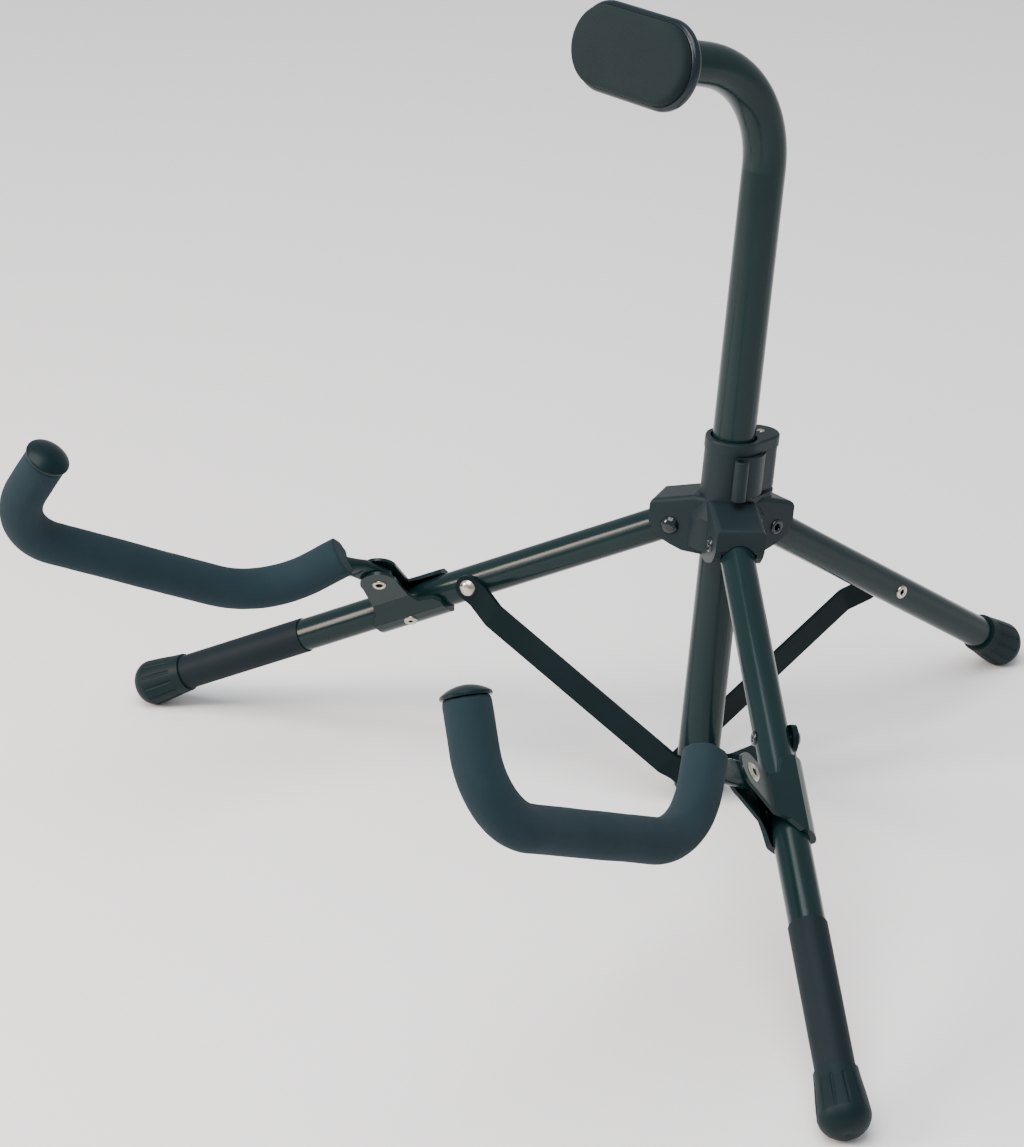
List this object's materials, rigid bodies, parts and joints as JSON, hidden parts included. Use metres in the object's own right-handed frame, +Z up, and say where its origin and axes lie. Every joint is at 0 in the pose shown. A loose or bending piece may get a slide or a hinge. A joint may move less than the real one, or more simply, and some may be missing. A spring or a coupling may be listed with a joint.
{
  "type": "folding guitar stand",
  "caption": "Folding tripod stand with a bent mast, back pad, sliding hub, straps and swing-out foam arms that cradle a guitar's body.",
  "frame": {"origin": "on the floor, at the middle of the stand's footprint box", "axes": "+Z up; the guitar leans on the -Y side; the rear leg points to +Y; X is across the stand, and the left arm is at -X"},
  "size_m": [0.6482, 0.6172, 0.4954],
  "materials": {
    "tube_paint": "gloss black enamel",
    "strap_paint": "satin black",
    "hub_plastic": "satin moulded",
    "foam": "fine closed-cell foam",
    "foot_rubber": "fluted rubber",
    "sleeve_pvc": "shrink sleeve",
    "cap_plastic": "moulded",
    "pad_shell_plastic": "moulded",
    "pad_cushion_skin": "matte skin on foam",
    "rivet_black": "gloss black",
    "rivet_nickel": "nickel plated",
    "plug_plastic": "moulded"
  },
  "bodies": {
    "hub": {"hub_body": "hub_plastic", "lever_pin": "rivet_nickel", "hub_rivet_left": "rivet_black", "hub_rivet_right": "rivet_black", "hub_rivet_rear": "rivet_black"},
    "leg_left": {"leg_tube_left": "tube_paint", "leg_sleeve_left": "sleeve_pvc", "foot_left": "foot_rubber", "brace_rivet_left": "rivet_nickel", "bracket_left": "tube_paint", "bracket_rivet_left": "rivet_nickel", "arm_rivet_left": "rivet_nickel"},
    "leg_right": {"leg_tube_right": "tube_paint", "leg_sleeve_right": "sleeve_pvc", "foot_right": "foot_rubber", "brace_rivet_right": "rivet_nickel", "bracket_right": "tube_paint", "bracket_rivet_right": "rivet_nickel", "arm_rivet_right": "rivet_nickel"},
    "leg_rear": {"leg_tube_rear": "tube_paint", "foot_rear": "foot_rubber", "brace_rivet_rear": "rivet_nickel"},
    "brace_left": {"brace_left": "strap_paint"},
    "brace_right": {"brace_right": "strap_paint"},
    "brace_rear": {"brace_rear": "strap_paint"},
    "mast": {"mast_tube": "tube_paint", "mast_foot_plug": "plug_plastic", "mast_end_plug": "plug_plastic", "pad_screw": "rivet_nickel", "strap_rivet_left": "rivet_nickel", "strap_rivet_right": "rivet_nickel", "strap_rivet_rear": "rivet_nickel"},
    "pad": {"pad_shell": "pad_shell_plastic", "pad_cushion": "pad_cushion_skin"},
    "arm_left": {"arm_tube_left": "tube_paint", "arm_foam_left": "foam", "arm_cap_left": "cap_plastic"},
    "arm_right": {"arm_tube_right": "tube_paint", "arm_foam_right": "foam", "arm_cap_right": "cap_plastic"},
    "lock_lever": {"lock_lever": "hub_plastic"}
  },
  "joints": [
    {"name": "fold_left", "type": "hinge", "parent": "hub", "child": "leg_left", "pos_m": [-0.02485, 0.03705, 0.17303], "axis": [0.5, -0.8597, 0.1045], "range_deg": [0, 56.3]},
    {"name": "fold_right", "type": "hinge", "parent": "hub", "child": "leg_right", "pos_m": [0.02485, 0.03705, 0.17303], "axis": [0.5, 0.8597, -0.1045], "range_deg": [0, 56.3]},
    {"name": "fold_rear", "type": "hinge", "parent": "hub", "child": "leg_rear", "pos_m": [0, 0.07979, 0.16784], "axis": [-1, 0, 0], "range_deg": [0, 56.3]},
    {"name": "brace_turn_left", "type": "hinge", "parent": "leg_left", "child": "brace_left", "pos_m": [-0.13014, -0.03132, 0.11429], "axis": [-0.5, 0.8597, -0.1045], "range_deg": [0, 101.91]},
    {"name": "brace_turn_right", "type": "hinge", "parent": "leg_right", "child": "brace_right", "pos_m": [0.13014, -0.03132, 0.11429], "axis": [-0.5, -0.8597, 0.1045], "range_deg": [0, 101.91]},
    {"name": "brace_turn_rear", "type": "hinge", "parent": "leg_rear", "child": "brace_rear", "pos_m": [0, 0.19244, 0.0871], "axis": [1, 0, 0], "range_deg": [0, 101.91]},
    {"name": "mast_slide_pivot", "type": "hinge", "parent": "brace_left", "child": "mast", "pos_m": [0.00758, 0.01954, 0.01821], "axis": [-0.5, 0.8597, -0.1045], "range_deg": [-45.61, 0]},
    {"name": "lever_turn", "type": "hinge", "parent": "hub", "child": "lock_lever", "pos_m": [0, 0.07699, 0.20444], "axis": [0, 0.1207, 0.9927], "range_deg": [0, 40]},
    {"name": "pad_swivel", "type": "hinge", "parent": "mast", "child": "pad", "pos_m": [0, -0.0132, 0.46943], "axis": [0, -0.9567, 0.2912], "continuous": true},
    {"name": "arm_fold_left", "type": "hinge", "parent": "leg_left", "child": "arm_left", "pos_m": [-0.16074, -0.0805, 0.12163], "axis": [-0.6496, 0.5443, 0.5308], "range_deg": [0, 50]},
    {"name": "arm_fold_right", "type": "hinge", "parent": "leg_right", "child": "arm_right", "pos_m": [0.16074, -0.0805, 0.12163], "axis": [-0.6496, -0.5443, -0.5308], "range_deg": [0, 50]}
  ],
  "couplings": [
    {"joint": "fold_right", "follows": "fold_left", "ratio": 1},
    {"joint": "fold_rear", "follows": "fold_left", "ratio": 1},
    {"joint": "brace_turn_left", "follows": "fold_left", "ratio": 1.81},
    {"joint": "brace_turn_right", "follows": "fold_left", "ratio": 1.81},
    {"joint": "brace_turn_rear", "follows": "fold_left", "ratio": 1.81},
    {"joint": "mast_slide_pivot", "follows": "fold_left", "ratio": -0.81}
  ]
}
